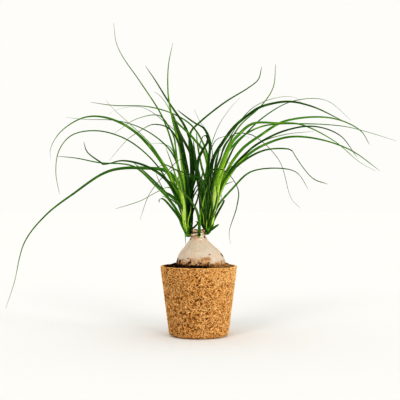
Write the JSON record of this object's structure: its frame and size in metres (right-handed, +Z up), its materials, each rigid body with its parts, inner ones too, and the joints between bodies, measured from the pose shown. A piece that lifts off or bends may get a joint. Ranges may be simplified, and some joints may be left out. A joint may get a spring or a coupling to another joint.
{
  "type": "potted ponytail palm",
  "caption": "House plant: a bulbous stem base in soil in a tapered coir pot, with heads of long thin arching strap leaves round the cut top of its neck.",
  "frame": {"origin": "centre of the pot's flat base, on the surface it stands on", "axes": "+Z up along the pot's axis, +X to the right and -Y towards the viewer of the front, where the two leaf heads stand side by side"},
  "size_m": [0.5954, 0.445, 0.5161],
  "materials": {
    "coir": "matte",
    "soil": "matte",
    "bark": "matte",
    "leaf": "satin"
  },
  "bodies": {
    "root": {"coir_pot": "coir", "potting_soil": "soil", "caudex": "bark", "left_head": "leaf", "right_head": "leaf", "front_shoot": "leaf"}
  },
  "joints": []
}
